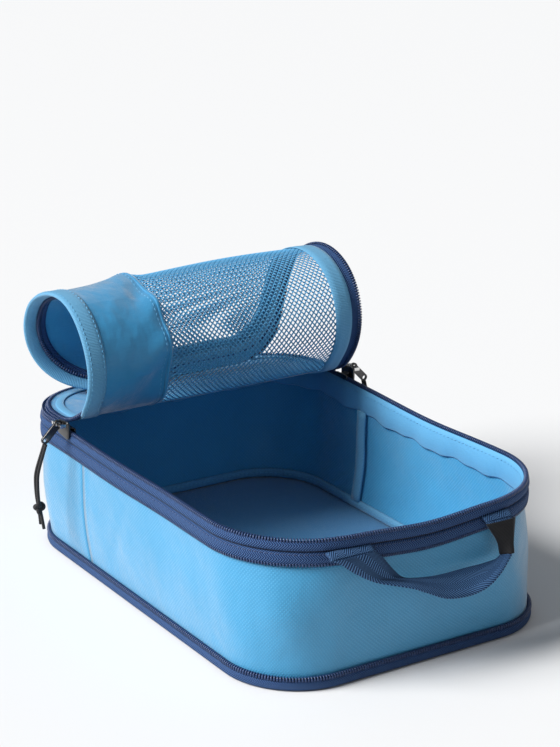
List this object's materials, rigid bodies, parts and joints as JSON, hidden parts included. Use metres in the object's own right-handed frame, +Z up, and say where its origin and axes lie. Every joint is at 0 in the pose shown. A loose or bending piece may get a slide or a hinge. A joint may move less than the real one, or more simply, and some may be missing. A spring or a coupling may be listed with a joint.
{
  "type": "packing cube",
  "caption": "Soft rectangular travel packing cube with round corners, expansion zipper, carry handle and a zip-off mesh lid rolled back at one end.",
  "frame": {"origin": "middle of the underside of the base panel, on the surface that the cube stands on", "axes": "+Z up, +X across the width, +Y from the handle end towards the end where the lid stays attached"},
  "size_m": [0.2246, 0.2943, 0.155],
  "materials": {
    "base_fabric": "woven nylon, plain weave, matt",
    "wall_fabric": "small dobby ripstop nylon, soft sheen",
    "lid_fabric": "smooth taffeta, soft sheen",
    "lid_mesh": "open knitted mesh",
    "binding": "folded grosgrain tape with two stitch lines",
    "zip_tape": "woven zipper tape",
    "zip_coil": "nylon coil",
    "webbing": "herringbone webbing",
    "slider_metal": "dark gunmetal lacquer",
    "bridge_metal": "bright nickel",
    "pull_cord": "braided cord",
    "tag": "woven label, blank"
  },
  "bodies": {
    "base": {"base_panel": "base_fabric", "base_seam_binding": "binding", "lower_expansion_tape": "zip_tape", "lower_expansion_coil": "zip_coil", "side_gusset": "wall_fabric", "back_gusset": "wall_fabric", "gusset_seam_bindings": "binding"},
    "rim": {"upper_expansion_tape": "zip_tape", "upper_expansion_coil": "zip_coil", "rim_lining": "binding", "rim_seam_cord": "zip_coil", "main_zip_tape": "zip_tape", "main_zip_coil": "zip_coil", "lid_hinge_strip": "lid_fabric", "lid_back_panel": "lid_fabric", "lid_back_zip": "zip_tape", "handle_anchors": "webbing"},
    "lid_1": {"lid_fabric_1": "lid_fabric", "lid_mesh_1": "lid_mesh", "lid_zip_1": "zip_tape"},
    "lid_2": {"lid_fabric_2": "lid_fabric", "lid_mesh_2": "lid_mesh", "lid_zip_2": "zip_tape"},
    "lid_3": {"lid_fabric_3": "lid_fabric", "lid_mesh_3": "lid_mesh", "lid_zip_3": "zip_tape"},
    "lid_4": {"lid_fabric_4": "lid_fabric", "lid_mesh_4": "lid_mesh", "lid_zip_4": "zip_tape"},
    "lid_5": {"lid_fabric_5": "lid_fabric", "lid_mesh_5": "lid_mesh", "lid_zip_5": "zip_tape"},
    "lid_6": {"lid_fabric_6": "lid_fabric", "lid_mesh_6": "lid_mesh", "lid_zip_6": "zip_tape"},
    "lid_7": {"lid_fabric_7": "lid_fabric", "lid_mesh_7": "lid_mesh", "lid_zip_7": "zip_tape"},
    "lid_8": {"lid_fabric_8": "lid_fabric", "lid_zip_8": "zip_tape"},
    "left_zip_slider": {"left_slider": "slider_metal", "left_slider_bridge": "bridge_metal"},
    "left_puller": {"left_pull_tab": "slider_metal", "left_pull_cord": "pull_cord", "left_cord_knot": "pull_cord"},
    "right_zip_slider": {"right_slider": "slider_metal", "right_slider_bridge": "bridge_metal"},
    "right_puller": {"right_pull_tab": "slider_metal", "right_pull_cord": "pull_cord", "right_cord_knot": "pull_cord"},
    "expansion_zip_slider": {"expansion_slider": "slider_metal", "expansion_slider_bridge": "bridge_metal"},
    "expansion_puller": {"expansion_pull_tab": "slider_metal"},
    "carry_handle": {"handle_webbing": "webbing", "handle_tag": "tag"}
  },
  "joints": [
    {"name": "expansion", "type": "slide", "parent": "base", "child": "rim", "axis": [0, 0, -1], "range_m": [0, 0.055], "deforming": ["side_gusset", "back_gusset", "gusset_seam_bindings"]},
    {"name": "lid_fold_1", "type": "hinge", "parent": "rim", "child": "lid_1", "pos_m": [0, 0.076, 0.0801], "axis": [1, 0, 0], "range_deg": [0, 38.5]},
    {"name": "lid_fold_2", "type": "hinge", "parent": "lid_1", "child": "lid_2", "pos_m": [0, 0.05624, 0.09582], "axis": [1, 0, 0], "range_deg": [0, 38.5]},
    {"name": "lid_fold_3", "type": "hinge", "parent": "lid_2", "child": "lid_3", "pos_m": [0, 0.05056, 0.12042], "axis": [1, 0, 0], "range_deg": [0, 38.5]},
    {"name": "lid_fold_4", "type": "hinge", "parent": "lid_3", "child": "lid_4", "pos_m": [0, 0.06143, 0.14321], "axis": [1, 0, 0], "range_deg": [0, 38.5]},
    {"name": "lid_fold_5", "type": "hinge", "parent": "lid_4", "child": "lid_5", "pos_m": [0, 0.08412, 0.15428], "axis": [1, 0, 0], "range_deg": [0, 38.5]},
    {"name": "lid_fold_6", "type": "hinge", "parent": "lid_5", "child": "lid_6", "pos_m": [0, 0.10878, 0.14882], "axis": [1, 0, 0], "range_deg": [0, 38.5]},
    {"name": "lid_fold_7", "type": "hinge", "parent": "lid_6", "child": "lid_7", "pos_m": [0, 0.12467, 0.12919], "axis": [1, 0, 0], "range_deg": [0, 38.5]},
    {"name": "lid_fold_8", "type": "hinge", "parent": "lid_7", "child": "lid_8", "pos_m": [0, 0.12489, 0.10394], "axis": [1, 0, 0], "range_deg": [0, 38.5]},
    {"name": "left_slider_travel", "type": "slide", "parent": "rim", "child": "left_zip_slider", "axis": [0, -1, 0], "range_m": [0, 0.144]},
    {"name": "left_puller_swing", "type": "hinge", "parent": "left_zip_slider", "child": "left_puller", "pos_m": [-0.0977, 0.072, 0.0813], "axis": [0, 1, 0], "range_deg": [0, 110]},
    {"name": "right_slider_travel", "type": "slide", "parent": "rim", "child": "right_zip_slider", "axis": [0, -1, 0], "range_m": [0, 0.144]},
    {"name": "right_puller_swing", "type": "hinge", "parent": "right_zip_slider", "child": "right_puller", "pos_m": [0.0977, 0.072, 0.0813], "axis": [0, -1, 0], "range_deg": [0, 110]},
    {"name": "expansion_slider_travel", "type": "slide", "parent": "base", "child": "expansion_zip_slider", "axis": [-1, 0, 0], "range_m": [0, 0.088]},
    {"name": "expansion_puller_swing", "type": "hinge", "parent": "expansion_zip_slider", "child": "expansion_puller", "pos_m": [0.044, 0.1347, 0.0108], "axis": [1, 0, 0], "range_deg": [0, 100]},
    {"name": "handle_swing", "type": "hinge", "parent": "rim", "child": "carry_handle", "pos_m": [0, -0.131, 0.0686], "axis": [-1, 0, 0], "range_deg": [0, 120]}
  ],
  "couplings": [
    {"joint": "lid_fold_2", "follows": "lid_fold_1", "ratio": 1},
    {"joint": "lid_fold_3", "follows": "lid_fold_1", "ratio": 1},
    {"joint": "lid_fold_4", "follows": "lid_fold_1", "ratio": 1},
    {"joint": "lid_fold_5", "follows": "lid_fold_1", "ratio": 1},
    {"joint": "lid_fold_6", "follows": "lid_fold_1", "ratio": 1},
    {"joint": "lid_fold_7", "follows": "lid_fold_1", "ratio": 1},
    {"joint": "lid_fold_8", "follows": "lid_fold_1", "ratio": 1}
  ]
}
